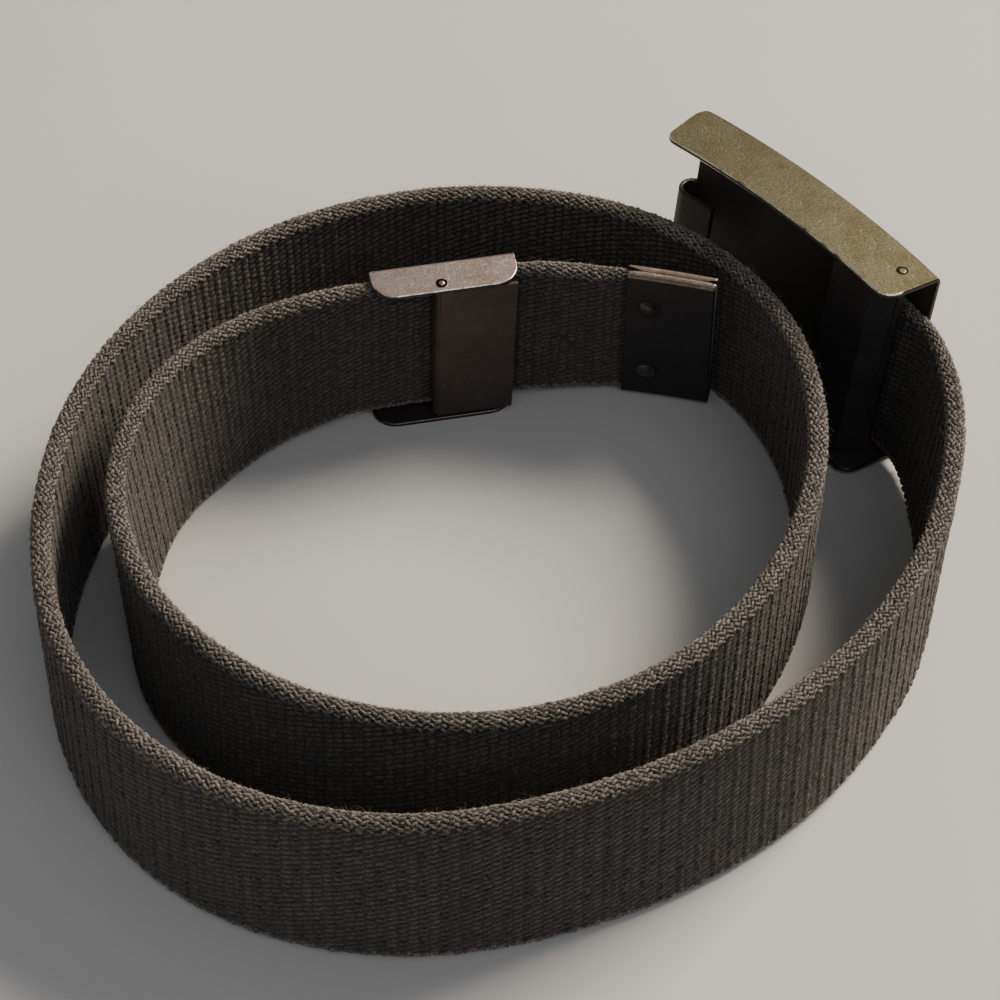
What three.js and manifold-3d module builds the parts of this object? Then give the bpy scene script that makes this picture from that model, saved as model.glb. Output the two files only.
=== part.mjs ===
// A canvas web belt coiled about two turns and standing on its edge on a surface, with a hooked clamp
// buckle at one end, a metal tip at the other and a slider between them.
// Millimetres, +Z up. The camera side is -Y. The strap runs clockwise, seen from above, from the buckle
// at the back right to the tip at the inner back.
import * as THREE from "three";
import Module from "manifold-3d";
import { mergeVertices } from "three/addons/utils/BufferGeometryUtils.js";

const wasm = await Module();
wasm.setup();

// Webbing
const strap_length = 1042;
const web_width = 45;
const web_thickness = 4.5;
const selvedge_radius = 1.9;
const pressed_by_buckle = 3.0;
const pressed_by_slider = 3.6;
const pressed_by_tip = 2.8;
const press_run = 26;
const tip_press_run = 7;
const web_step_degrees = 4.5;
const web_step_length = 12;
const web_edge_steps = 2;
const edge_share = 0.95;

// How the strap lies: where it starts, and the way it heads there
const start_x = 82;
const start_y = 67.5;
const start_heading = -52;

// The strap's route as tangent arcs, each with its parts of the strap's length and its turn in degrees.
// The first row is inside the buckle, the last but four inside the slider and the last inside the tip.
const route_rows = [
  { parts: 21, turn: 5 },
  { parts: 8, turn: 20 },
  { parts: 24.5, turn: 19.5 },
  { parts: 76, turn: 39.5 },
  { parts: 76, turn: 32.5 },
  { parts: 38, turn: 27.5 },
  { parts: 76, turn: 60.5 },
  { parts: 38, turn: 20 },
  { parts: 76, turn: 46.5 },
  { parts: 76, turn: 48.5 },
  { parts: 76, turn: 68 },
  { parts: 76, turn: 49.5 },
  { parts: 114, turn: 88.5 },
  { parts: 38, turn: 33 },
  { parts: 38, turn: 39 },
  { parts: 38, turn: 47 },
  { parts: 22, turn: 9.5 },
  { parts: 33, turn: 2 },
  { parts: 8, turn: 12 },
  { parts: 12, turn: 2.5 },
  { parts: 6, turn: 6 },
  { parts: 20, turn: 5 },
];

// How far the strap leans, in degrees, along its length: above zero its lower edge stands outward
const lean_rows = [
  { along: 0, lean: -4 },
  { along: 0.03, lean: -4 },
  { along: 0.1, lean: 2 },
  { along: 0.14, lean: 3.5 },
  { along: 0.25, lean: 2.5 },
  { along: 0.33, lean: 0.5 },
  { along: 0.39, lean: -3.5 },
  { along: 0.48, lean: -0.5 },
  { along: 0.56, lean: 1.5 },
  { along: 0.64, lean: 0.5 },
  { along: 0.76, lean: 2.5 },
  { along: 0.8, lean: 1 },
  { along: 0.85, lean: -5 },
  { along: 0.875, lean: -5 },
  { along: 0.92, lean: 4.5 },
  { along: 0.955, lean: 4.5 },
  { along: 0.975, lean: 8.5 },
  { along: 1, lean: 9 },
];

// Clearances
const sheet_gap = 0.3;
const edge_gap = 0.4;
const pin_gap = 0.2;
const lever_end_gap = 0.5;

// Over how long a run the strap comes down to the surface on each side of a metal piece
const buckle_rise_run = 60;
const slider_rise_run = 45;
const tip_rise_run = 16;

// How finely round things are cut, and how far a cutter reaches past what it cuts
const round_sides = 20;
const corner_steps = 5;
const bend_steps = 4;
const bent_step = 8;
const past = 1;

// Buckle: a curved plate with a flange along its top and bottom, and its far end folded back as a hook
const clamp_length = 22;
const buckle_length = 78;
const buckle_height = 57.5;
const buckle_depth = 16.6;
const buckle_sheet = 1.2;
const buckle_curve = 244;
const buckle_bend = 1.7;
const buckle_far_corner = 5;
const plate_setback = 1.5;
const hook_overhang = 1;
const buckle_near_corner = 3;
const buckle_clamp_corner = 4.5;
const hook_width = 14;
const hook_reach = 9;
const hook_opening = 5.2;
const buckle_pin_radius = 1.1;
const buckle_pin_from_end = 6;
const buckle_lever_sheet = 1.4;
const buckle_ridge_back = 1;
const buckle_ridge_depth = 7.2;
const buckle_lever_length = 12.5;

// Slider: a flat plate with a flange along its top and bottom
const slider_along = 0.938;
const slider_length = 34.5;
const slider_depth = 9.4;
const slider_sheet = 1;
const slider_bend = 1.1;
const slider_corner = 5.5;
const slider_pin_radius = 0.95;
const slider_lever_sheet = 1.1;
const slider_lever_length = 17.8;
const slider_pin_shift = -1.2;
const knuckle_wall = 0.75;
const slider_lever_heel = 0.3;

// Tip: a sheet sleeve round the strap's end, its two edges rolled together over the strap's top edge
const tip_length = 21;
const tip_sheet = 0.7;
const tip_seam_share = 0.18;
const tip_mouth_share = 0.92;
const tip_mouth_run = 6;
const tip_roll = 1.9;
const tip_step_degrees = 3;
const tip_step_length = 2;
const rivet_radius = 3.1;
const rivet_height = 0.6;
const rivet_wall_share = 0.4;
const rivet_crown_share = 0.7;
const rivet_sides = 16;
const rivet_inset = 5.6;
const rivet_drop = 10;

const cloth = new THREE.MeshStandardMaterial({ color: 0x4c4638, roughness: 0.95 });
const brass = new THREE.MeshStandardMaterial({ color: 0x6e5a34, metalness: 0.9, roughness: 0.45 });
const bronze = new THREE.MeshStandardMaterial({ color: 0x77675c, metalness: 0.9, roughness: 0.45 });
const dark_steel = new THREE.MeshStandardMaterial({ color: 0x2b2826, metalness: 0.8, roughness: 0.5 });

const radians = THREE.MathUtils.degToRad;
const parts_in_all = route_rows.reduce((sum, row) => sum + row.parts, 0);

// The route: a point with its heading at the start of each arc
function lay_route() {
  const knots = [];
  let x = start_x;
  let y = start_y;
  let heading = radians(start_heading);
  let along = 0;
  for (const row of route_rows) {
    const length = strap_length * row.parts / parts_in_all;
    const bend = radians(row.turn) / length;
    knots.push({ x, y, heading, along, length, bend });
    const end = arc_point({ x, y, heading, bend }, length);
    x = end.x;
    y = end.y;
    heading = end.heading;
    along += length;
  }
  return knots;
}

// The point that lies a run of the strap past the start of an arc that turns clockwise
function arc_point(knot, run) {
  const heading = knot.heading - knot.bend * run;
  const radius = 1 / knot.bend;
  return {
    x: knot.x + radius * (Math.sin(knot.heading) - Math.sin(heading)),
    y: knot.y - radius * (Math.cos(knot.heading) - Math.cos(heading)),
    heading,
  };
}

const route = lay_route();

function on_route(along) {
  let knot = route[0];
  for (const candidate of route) if (candidate.along <= along) knot = candidate;
  return arc_point(knot, along - knot.along);
}

const ease = (share) => {
  const held = Math.min(1, Math.max(0, share));
  return held * held * (3 - 2 * held);
};

function lean_at(along) {
  const share = Math.min(1, Math.max(0, along / strap_length));
  let after = 1;
  while (after < lean_rows.length - 1 && lean_rows[after].along < share) after += 1;
  const a = lean_rows[after - 1];
  const b = lean_rows[after];
  return radians(a.lean + (b.lean - a.lean) * ease((share - a.along) / (b.along - a.along)));
}

// Places across each metal piece, outward from the strap's middle plane, and up from its lower edge
const slider_at = strap_length * slider_along;
const buckle_inside = pressed_by_buckle / 2 + sheet_gap;
const buckle_outside = buckle_inside + buckle_sheet;
const buckle_near = buckle_outside - buckle_depth;
const slider_inside = pressed_by_slider / 2 + sheet_gap;
const slider_outside = slider_inside + slider_sheet;
const slider_near = slider_outside - slider_depth;
const tip_outside = pressed_by_tip / 2 + sheet_gap + tip_sheet;
const buckle_floor = -(edge_gap + buckle_sheet);
const slider_floor = -(edge_gap + slider_sheet);
const slider_height = web_width + 2 * (edge_gap + slider_sheet);
const tip_floor = -(sheet_gap + tip_sheet);

// How high the strap's lower edge has to stand for a piece round it to rest on the surface
function stand(along, near, far, floor) {
  const lean = lean_at(along);
  const lowest = Math.min(near * Math.sin(lean), far * Math.sin(lean)) + floor * Math.cos(lean);
  return -lowest;
}

const holders = [
  {
    from: 0,
    to: clamp_length,
    run: buckle_rise_run,
    rise: stand(0, buckle_near, buckle_outside, buckle_floor),
  },
  {
    from: slider_at - slider_length / 2,
    to: slider_at + slider_length / 2,
    run: slider_rise_run,
    rise: stand(slider_at, slider_near, slider_outside, slider_floor),
  },
  {
    from: strap_length - tip_length,
    to: strap_length,
    run: tip_rise_run,
    rise: stand(strap_length, -tip_outside, tip_outside, tip_floor),
  },
];

function rise_at(along) {
  let rise = (web_thickness / 2) * Math.abs(Math.sin(lean_at(along)));
  for (const holder of holders) {
    const away = Math.max(holder.from - along, along - holder.to, 0);
    rise = Math.max(rise, holder.rise * ease(1 - away / holder.run));
  }
  return rise;
}

// The strap is pressed thinner where a clamp holds it
function thickness_at(along) {
  const at_buckle = ease(1 - Math.max(0, along - clamp_length) / press_run);
  const from_slider = Math.max(0, Math.abs(along - slider_at) - slider_length / 2);
  const at_slider = ease(1 - from_slider / (press_run / 2));
  const at_tip = ease(1 - Math.max(0, strap_length - tip_length - along) / tip_press_run);
  return web_thickness
    - (web_thickness - pressed_by_buckle) * at_buckle
    - (web_thickness - pressed_by_slider) * at_slider
    - (web_thickness - pressed_by_tip) * at_tip;
}

// A frame on the strap: x runs along it, y outward and z up its width from the lower edge. The route is
// that of the upper edge, about which the strap leans.
function frame_at(along) {
  const point = on_route(along);
  const lean = lean_at(along);
  const shift = web_width * Math.sin(lean);
  const outward = new THREE.Vector3(-Math.sin(point.heading), Math.cos(point.heading), 0);
  const forward = new THREE.Vector3(Math.cos(point.heading), Math.sin(point.heading), 0);
  const up = new THREE.Vector3(0, 0, 1);
  const across = outward.clone().multiplyScalar(Math.cos(lean)).addScaledVector(up, Math.sin(lean));
  const width = up.clone().multiplyScalar(Math.cos(lean)).addScaledVector(outward, -Math.sin(lean));
  const origin = new THREE.Vector3(point.x, point.y, rise_at(along)).addScaledVector(outward, shift);
  return new THREE.Matrix4().makeBasis(forward, across, width).setPosition(origin);
}

// A closed skin through rings of equal count, with a fan of triangles over each end
function skin(rings) {
  const count = rings[0].length;
  const places = [];
  const faces = [];
  for (const ring of rings) for (const point of ring) places.push(point.x, point.y, point.z);
  for (let ring = 0; ring + 1 < rings.length; ring += 1) {
    for (let step = 0; step < count; step += 1) {
      const a = ring * count + step;
      const b = ring * count + (step + 1) % count;
      faces.push(a, b, a + count, b, b + count, a + count);
    }
  }
  const last = (rings.length - 1) * count;
  const flats = (ring) => ring.map((point) => point.flat);
  for (const [a, b, c] of THREE.ShapeUtils.triangulateShape(flats(rings[0]), [])) faces.push(a, c, b);
  for (const [a, b, c] of THREE.ShapeUtils.triangulateShape(flats(rings[rings.length - 1]), [])) {
    faces.push(last + a, last + b, last + c);
  }
  const geometry = new THREE.BufferGeometry();
  geometry.setAttribute("position", new THREE.Float32BufferAttribute(places, 3));
  geometry.setIndex(faces);
  return geometry;
}

// One ring of a sweep: a flat section, outward and up, set in a frame
function ring_in(frame, section, run = 0) {
  return section.map((flat) => {
    const point = new THREE.Vector3(run, flat.x, flat.y).applyMatrix4(frame);
    point.flat = flat;
    return point;
  });
}

// Stations along the strap between two lengths, closer where it bends
function stations(from, to, step_degrees, step_length) {
  const found = [from];
  for (const knot of route) {
    const start = Math.max(from, knot.along);
    const end = Math.min(to, knot.along + knot.length);
    if (end - start < 1e-6) continue;
    const steps = Math.ceil(Math.max(
      knot.bend * (end - start) / radians(step_degrees),
      (end - start) / step_length,
    ));
    for (let step = 1; step <= steps; step += 1) found.push(start + (end - start) * step / steps);
  }
  return found;
}

const evenly = (radius) => [radius, radius, radius, radius];
const square = evenly(0);

// The outline of a rectangle with rounded corners, counter-clockwise; radii start at the low left corner
function rounded(left, low, right, high, radii, steps) {
  const corners = [
    [left, low, 1, 1, 180],
    [right, low, -1, 1, 270],
    [right, high, -1, -1, 0],
    [left, high, 1, -1, 90],
  ];
  const outline = [];
  corners.forEach(([x, y, inx, iny, from], index) => {
    const radius = radii[index];
    const centre = new THREE.Vector2(x + inx * radius, y + iny * radius);
    const count = radius > 0 ? steps : 0;
    for (let step = 0; step <= count; step += 1) {
      const angle = radians(from + 90 * (count ? step / count : 0));
      outline.push(new THREE.Vector2(
        centre.x + radius * Math.cos(angle),
        centre.y + radius * Math.sin(angle),
      ));
    }
  });
  return outline;
}

// Solids for cutting and joining
function solid(geometry) {
  const bare = new THREE.BufferGeometry();
  bare.setAttribute("position", geometry.getAttribute("position").clone());
  if (geometry.index) bare.setIndex(geometry.index.clone());
  const merged = mergeVertices(bare, 1e-5);
  return new wasm.Manifold(new wasm.Mesh({
    numProp: 3,
    vertProperties: new Float32Array(merged.getAttribute("position").array),
    triVerts: new Uint32Array(merged.index.array),
  }));
}

function surface(body) {
  const mesh = body.getMesh();
  const geometry = new THREE.BufferGeometry();
  geometry.setAttribute("position", new THREE.Float32BufferAttribute(mesh.vertProperties, 3));
  geometry.setIndex(Array.from(mesh.triVerts));
  return geometry;
}

// An upright prism with an outline seen from above
function prism(outline, low, high) {
  const shape = new THREE.Shape(outline);
  const geometry = new THREE.ExtrudeGeometry(shape, { depth: high - low, bevelEnabled: false });
  geometry.translate(0, 0, low);
  return solid(geometry);
}

function circle(x, y, radius, sides) {
  const outline = [];
  for (let side = 0; side < sides; side += 1) {
    const angle = 2 * Math.PI * side / sides;
    outline.push(new THREE.Vector2(x + radius * Math.cos(angle), y + radius * Math.sin(angle)));
  }
  return outline;
}

// A sheet seen edge-on: a band of even thickness along a line of points, to the left of the way they run
function band(line, thickness) {
  const left = line.map((point, index) => {
    const before = line[Math.max(0, index - 1)];
    const after = line[Math.min(line.length - 1, index + 1)];
    const into = point.clone().sub(index ? before : after).normalize().multiplyScalar(index ? 1 : -1);
    const out = after.clone().sub(index + 1 < line.length ? point : before).normalize();
    const mean = new THREE.Vector2(-(into.y + out.y), into.x + out.x).normalize();
    const reach = thickness / (mean.x * -into.y + mean.y * into.x);
    return point.clone().addScaledVector(mean, reach);
  });
  return [...line, ...left.reverse()];
}

const finish = (body, frame) => surface(body).applyMatrix4(frame);

// Webbing: the section's long sides are flat and its edges rounded
function make_webbing() {
  const rings = stations(0, strap_length, web_step_degrees, web_step_length).map((along) => {
    const half = thickness_at(along) / 2;
    const radius = Math.min(selvedge_radius, half * edge_share);
    const section = rounded(-half, 0, half, web_width, evenly(radius), web_edge_steps);
    return ring_in(frame_at(along), section);
  });
  return skin(rings);
}

// The buckle is made straight, with x running back from its clamp end to minus its length, and then
// bent: a place is moved onto an arc about a centre on the wearer's side
function buckle_bent(point) {
  const angle = point.x / buckle_curve;
  const radius = buckle_curve - buckle_outside + point.y;
  return new THREE.Vector2(
    radius * Math.sin(angle),
    radius * Math.cos(angle) - (buckle_curve - buckle_outside),
  );
}

// Adds points along the long sides of an outline, so that they follow the bend
function fine(outline, step) {
  const found = [];
  outline.forEach((point, index) => {
    const next = outline[(index + 1) % outline.length];
    const pieces = Math.max(1, Math.ceil(point.distanceTo(next) / step));
    for (let piece = 0; piece < pieces; piece += 1) found.push(point.clone().lerp(next, piece / pieces));
  });
  return found;
}

const bent_prism = (outline, low, high) => prism(fine(outline, bent_step).map(buckle_bent), low, high);

const buckle_top = buckle_floor + buckle_height;
const buckle_pin_x = -buckle_pin_from_end;
const buckle_knuckle = buckle_pin_radius + pin_gap + knuckle_wall;
const buckle_pin_y = -(pressed_by_buckle / 2 + sheet_gap + buckle_knuckle);

function make_buckle_body() {
  const corners = [buckle_near_corner, buckle_clamp_corner, 0, buckle_far_corner];
  const block = bent_prism(
    rounded(-buckle_length, buckle_near, 0, buckle_outside, corners, corner_steps), buckle_floor, buckle_top,
  );
  const bends = [0, buckle_bend, buckle_bend, 0];
  const section = rounded(
    buckle_near - past, buckle_floor, buckle_outside, buckle_top, bends, bend_steps,
  );
  const steps = Math.ceil(buckle_length / bent_step);
  const rings = [];
  for (let step = 0; step <= steps; step += 1) {
    const x = past - (buckle_length + 2 * past) * (1 - step / steps);
    rings.push(section.map((flat) => {
      const bent = buckle_bent(new THREE.Vector2(x, flat.x));
      const point = new THREE.Vector3(bent.x, bent.y, flat.y);
      point.flat = flat;
      return point;
    }));
  }
  const channel = bent_prism(
    rounded(-buckle_length - hook_reach, buckle_near - past, past, buckle_inside, square, 0),
    buckle_floor + buckle_sheet, buckle_top - buckle_sheet,
  );
  const hole = prism(
    circle(buckle_pin_x, buckle_pin_y, buckle_pin_radius + pin_gap, round_sides),
    buckle_floor - past, buckle_top + past,
  );
  const plate = bent_prism(
    rounded(plate_setback - buckle_length, buckle_inside, -buckle_length / 2, buckle_outside, square, 0),
    buckle_floor + buckle_bend, buckle_top - buckle_bend,
  );
  return block.intersect(solid(skin(rings))).subtract(channel).add(plate).add(make_hook()).subtract(hole);
}

// The hook: the plate's far end folded back inside the flanges, narrower than the plate
function make_hook() {
  const fold = hook_opening / 2 + buckle_sheet;
  const middle = buckle_outside - fold;
  const left = -buckle_length - hook_overhang + fold;
  const steps = 2 * bend_steps;
  const outline = [];
  for (let step = 0; step <= steps; step += 1) {
    const angle = radians(90 + 180 * step / steps);
    outline.push(new THREE.Vector2(left + fold * Math.cos(angle), middle + fold * Math.sin(angle)));
  }
  outline.push(new THREE.Vector2(left + hook_reach, middle - fold));
  outline.push(new THREE.Vector2(left + hook_reach, middle - fold + buckle_sheet));
  for (let step = steps; step >= 0; step -= 1) {
    const angle = radians(90 + 180 * step / steps);
    const inner = fold - buckle_sheet;
    outline.push(new THREE.Vector2(left + inner * Math.cos(angle), middle + inner * Math.sin(angle)));
  }
  outline.push(new THREE.Vector2(left + hook_reach, buckle_inside));
  outline.push(new THREE.Vector2(left + hook_reach, buckle_outside));
  const middle_height = (buckle_floor + buckle_top) / 2;
  return bent_prism(outline, middle_height - hook_width / 2, middle_height + hook_width / 2);
}

// A lever: a sheet with a knuckle round its pin, of even section up its whole height
function make_lever(pin, pin_radius, line, sheet, low, high) {
  const bore_radius = pin_radius + pin_gap;
  const knuckle = prism(circle(pin.x, pin.y, bore_radius + knuckle_wall, round_sides), low, high);
  const bore = prism(circle(pin.x, pin.y, bore_radius, round_sides), low - past, high + past);
  return prism(band(line, sheet), low, high).add(knuckle).subtract(bore);
}

function make_buckle_lever() {
  const pin = new THREE.Vector2(buckle_pin_x, buckle_pin_y);
  const outer = pin.clone().add(new THREE.Vector2(buckle_knuckle, 0));
  const ridge = pin.clone().add(new THREE.Vector2(-buckle_ridge_back, -buckle_ridge_depth));
  const lip = ridge.clone().add(new THREE.Vector2(-buckle_lever_length, -buckle_lever_sheet));
  const low = buckle_floor + buckle_sheet + lever_end_gap;
  const high = buckle_top - buckle_sheet - lever_end_gap;
  return make_lever(pin, buckle_pin_radius, [lip, ridge, outer], buckle_lever_sheet, low, high);
}

const slider_top = slider_floor + slider_height;
const slider_knuckle = slider_pin_radius + pin_gap + knuckle_wall;
const slider_pin_y = -(pressed_by_slider / 2 + sheet_gap + slider_knuckle);

function make_slider_body() {
  const half = slider_length / 2;
  const corners = [slider_corner, slider_corner, 0, 0];
  const block = prism(
    rounded(-half, slider_near, half, slider_outside, corners, corner_steps), slider_floor, slider_top,
  );
  const bends = [0, slider_bend, slider_bend, 0];
  const section = rounded(
    slider_near - past, slider_floor, slider_outside, slider_top, bends, bend_steps,
  );
  const still = new THREE.Matrix4();
  const ends = [-half - past, half + past];
  const round_edges = solid(skin(ends.map((run) => ring_in(still, section, run))));
  const channel = prism(
    rounded(-half - past, slider_near - past, half + past, slider_inside, square, 0),
    slider_floor + slider_sheet, slider_top - slider_sheet,
  );
  const hole = prism(
    circle(slider_pin_shift, slider_pin_y, slider_pin_radius + pin_gap, round_sides),
    slider_floor - past, slider_top + past,
  );
  return block.intersect(round_edges).subtract(channel).subtract(hole);
}

function make_slider_lever() {
  const pin = new THREE.Vector2(slider_pin_shift, slider_pin_y);
  const near = slider_pin_y - slider_knuckle;
  const line = [
    new THREE.Vector2(pin.x - slider_knuckle, slider_pin_y),
    new THREE.Vector2(pin.x - slider_knuckle * slider_lever_heel, near),
    new THREE.Vector2(pin.x + slider_lever_length, near),
  ];
  const low = slider_floor + slider_sheet + lever_end_gap;
  const high = slider_top - slider_sheet - lever_end_gap;
  return make_lever(pin, slider_pin_radius, line, slider_lever_sheet, low, high);
}

// Tip: a sleeve with its seam along the strap's upper edge, opening into a mouth at the free end
function make_tip() {
  const from = strap_length - tip_length;
  const low = tip_floor;
  const high = web_width + sheet_gap + tip_sheet;
  const inside = tip_outside - tip_sheet;
  const inner_roll = tip_roll - tip_sheet;
  const flat_half = tip_outside - tip_roll;
  const split = 3 * (bend_steps + 1);
  const rings = stations(from, strap_length, tip_step_degrees, tip_step_length).map((along) => {
    const open = ease((along - (strap_length - tip_mouth_run)) / tip_mouth_run);
    const half = flat_half * (tip_seam_share + (tip_mouth_share - tip_seam_share) * open);
    const outer = rounded(-tip_outside, low, tip_outside, high, evenly(tip_roll), bend_steps);
    const inner = rounded(
      -inside, low + tip_sheet, inside, high - tip_sheet, evenly(inner_roll), bend_steps,
    );
    const around = [...outer.slice(split), ...outer.slice(0, split)];
    const back = [...inner.slice(split), ...inner.slice(0, split)].reverse();
    const section = [
      new THREE.Vector2(-half, high), ...around, new THREE.Vector2(half, high),
      new THREE.Vector2(half, high - tip_sheet), ...back, new THREE.Vector2(-half, high - tip_sheet),
    ];
    return ring_in(frame_at(along), section);
  });
  let body = solid(skin(rings));
  for (const drop of [rivet_drop, web_width - rivet_drop]) {
    for (const side of [-1, 1]) body = body.add(make_rivet(from + rivet_inset, web_width - drop, side));
  }
  return surface(body);
}

// A pressed rivet head on one face of the sleeve
function make_rivet(along, height, side) {
  const rings = [];
  const profile = [
    { out: -tip_sheet / 2, share: 1 },
    { out: rivet_height * rivet_wall_share, share: 1 },
    { out: rivet_height, share: rivet_crown_share },
  ];
  for (const { out, share } of profile) {
    rings.push(circle(0, height, rivet_radius * share, rivet_sides).map((flat) => {
      const point = new THREE.Vector3(flat.x, side * (tip_outside + out), flat.y);
      point.flat = flat;
      return point.applyMatrix4(frame_at(along));
    }));
  }
  if (side > 0) rings.reverse();
  return solid(skin(rings));
}

function make_pin(x, y, radius, low, high) {
  return prism(circle(x, y, radius, round_sides), low, high);
}

const part = new THREE.Group();

function piece(name, geometry, material) {
  const mesh = new THREE.Mesh(geometry, material);
  mesh.name = name;
  part.add(mesh);
}

const buckle_frame = frame_at(clamp_length);
const slider_frame = frame_at(slider_at);

piece("webbing", make_webbing(), cloth);
piece("buckle_body", finish(make_buckle_body(), buckle_frame), brass);
piece("buckle_lever", finish(make_buckle_lever(), buckle_frame), dark_steel);
piece("buckle_pin", finish(
  make_pin(buckle_pin_x, buckle_pin_y, buckle_pin_radius, buckle_floor, buckle_top), buckle_frame,
), bronze);
piece("slider_body", finish(make_slider_body(), slider_frame), bronze);
piece("slider_lever", finish(make_slider_lever(), slider_frame), bronze);
piece("slider_pin", finish(
  make_pin(slider_pin_shift, slider_pin_y, slider_pin_radius, slider_floor, slider_top), slider_frame,
), bronze);
piece("tip", make_tip(), bronze);

// The origin is at the bottom centre of the whole belt's box
const box = new THREE.Box3().setFromObject(part);
const middle = box.getCenter(new THREE.Vector3());
for (const mesh of part.children) mesh.geometry.translate(-middle.x, -middle.y, -box.min.z);

export default part;
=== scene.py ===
# A canvas web belt coiled about two turns on its edge: the looks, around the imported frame.
# Metres, +Z up, the camera on the -Y side. Sizes of the strap are named in millimetres, as in its source.
import math

import bmesh
import bpy
import numpy as np
from mathutils import Matrix, Vector


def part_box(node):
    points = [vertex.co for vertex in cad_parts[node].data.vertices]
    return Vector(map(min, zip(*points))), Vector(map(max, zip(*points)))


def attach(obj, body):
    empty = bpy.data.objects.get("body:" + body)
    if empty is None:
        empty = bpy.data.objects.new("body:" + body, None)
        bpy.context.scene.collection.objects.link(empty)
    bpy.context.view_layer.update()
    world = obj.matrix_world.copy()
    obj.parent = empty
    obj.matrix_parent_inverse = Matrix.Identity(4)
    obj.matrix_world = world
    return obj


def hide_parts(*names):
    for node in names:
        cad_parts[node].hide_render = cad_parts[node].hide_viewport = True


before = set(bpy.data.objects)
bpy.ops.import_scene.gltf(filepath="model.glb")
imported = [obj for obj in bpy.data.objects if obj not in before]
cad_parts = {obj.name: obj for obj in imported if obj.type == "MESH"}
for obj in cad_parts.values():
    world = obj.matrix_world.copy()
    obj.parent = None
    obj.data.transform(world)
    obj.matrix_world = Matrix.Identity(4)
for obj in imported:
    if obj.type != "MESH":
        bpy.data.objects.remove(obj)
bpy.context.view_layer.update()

MM = 0.001
SEED = 41

# At how many lengths of the strap its box is worked out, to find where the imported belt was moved
SHIFT_STATIONS = 1500

# Webbing
STRAP_LENGTH = 1042
WEB_WIDTH = 45
WEB_THICKNESS = 4.5
PRESSED_BY_BUCKLE = 3.0
PRESSED_BY_SLIDER = 3.6
PRESSED_BY_TIP = 2.8
PRESS_RUN = 26
TIP_PRESS_RUN = 7

# How the strap lies: where it starts, and the way it heads there
START_X = 82
START_Y = 67.5
START_HEADING = -52

# The strap's route as tangent arcs: parts of its length, and turn in degrees
ROUTE_PARTS, ROUTE_TURNS = np.array([
    (21, 5), (8, 20), (24.5, 19.5), (76, 39.5), (76, 32.5), (38, 27.5), (76, 60.5), (38, 20),
    (76, 46.5), (76, 48.5), (76, 68), (76, 49.5), (114, 88.5), (38, 33), (38, 39), (38, 47),
    (22, 9.5), (33, 2), (8, 12), (12, 2.5), (6, 6), (20, 5),
]).T

# How far the strap leans: share of its length, and lean in degrees, its lower edge standing outward
LEAN_SHARES, LEAN_DEGREES = np.array([
    (0, -4), (0.03, -4), (0.1, 2), (0.14, 3.5), (0.25, 2.5), (0.33, 0.5), (0.39, -3.5), (0.48, -0.5),
    (0.56, 1.5), (0.64, 0.5), (0.76, 2.5), (0.8, 1), (0.85, -5), (0.875, -5), (0.92, 4.5),
    (0.955, 4.5), (0.975, 8.5), (1, 9),
]).T

# Clearances, and the metal pieces' sizes that the strap's lie and the finishes need
SHEET_GAP = 0.3
EDGE_GAP = 0.4
CLAMP_LENGTH = 22
BUCKLE_HEIGHT = 57.5
BUCKLE_DEPTH = 16.6
BUCKLE_SHEET = 1.2
BUCKLE_CURVE = 244
BUCKLE_RISE_RUN = 60
SLIDER_ALONG = 0.938
SLIDER_LENGTH = 34.5
SLIDER_DEPTH = 9.4
SLIDER_SHEET = 1
SLIDER_RISE_RUN = 45
TIP_LENGTH = 21
TIP_SHEET = 0.7
TIP_RISE_RUN = 16

# The tip's rolled top: half its width, each roll's crown and the depth of the valley and shoulder beside
# it, and how far down the sleeve narrows
TIP_HALF_TOP = 1.75
TIP_ROLL_CROWN = 0.85
TIP_VALLEY = 0.5
TIP_SHOULDER = 1.3
TIP_NARROWED = 9

# How far each roll is cut back at the seam, as a share of half a turn: all along, and more toward the
# split by the strap and toward the mouth, each over its run
TIP_SEAM_CUT = 0.03
TIP_SPLIT_CUT = 0.4
TIP_SPLIT_RUN = 5
TIP_MOUTH_CUT = 0.36
TIP_MOUTH_RUN = 3.5

# How finely the sleeve is made: rings along it, and places round each roll, the lower fold and a face
TIP_RINGS = 43
TIP_ROLL_PLACES = 15
TIP_FOLD_PLACES = 13
TIP_FACE_PLACES = 12

# Where the rivets sit: in from the tip's start, and down from each edge of the strap
RIVET_INSET = 5.6
RIVET_DROP = 10

# Round heads, ring by ring from the foot to the crown: radius, height, and which of the head's materials
# is on the step to the next ring
HEAD_SIDES = 28
BUCKLE_HEAD = ((1.55, -0.3, 0), (1.55, 0.02, 0), (1.42, 0.08, 1), (1.3, 0.03, 1), (1.02, 0.03, 1),
               (0.92, 0.12, 0), (0.6, 0.16, 0), (0.25, 0.17, 0))
SLIDER_HEAD = ((1.5, -0.3, 0), (1.5, 0.03, 0), (1.4, 0.1, 1), (1.2, 0.05, 1), (0.84, 0.05, 1),
               (0.76, 0.2, 2), (0.55, 0.4, 2), (0.25, 0.5, 2))
RIVET_HEAD = ((3.1, -0.3, 0), (3.1, 0.1, 0), (2.9, 0.2, 1), (2.65, 0.12, 1), (2.4, 0.16, 2),
              (1.9, 0.62, 2), (1.1, 0.9, 2), (0.3, 1.0, 2))
ACROSS, UP = 1, 2

# Each hinge pin's place in its holder's frame, along and out, and how far round it edges stay sharp
BUCKLE_PIN = (-6, -3.85)
BUCKLE_BORE = 1.5
SLIDER_PIN = (-1.2, -4.0)
SLIDER_BORE = 1.35

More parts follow.
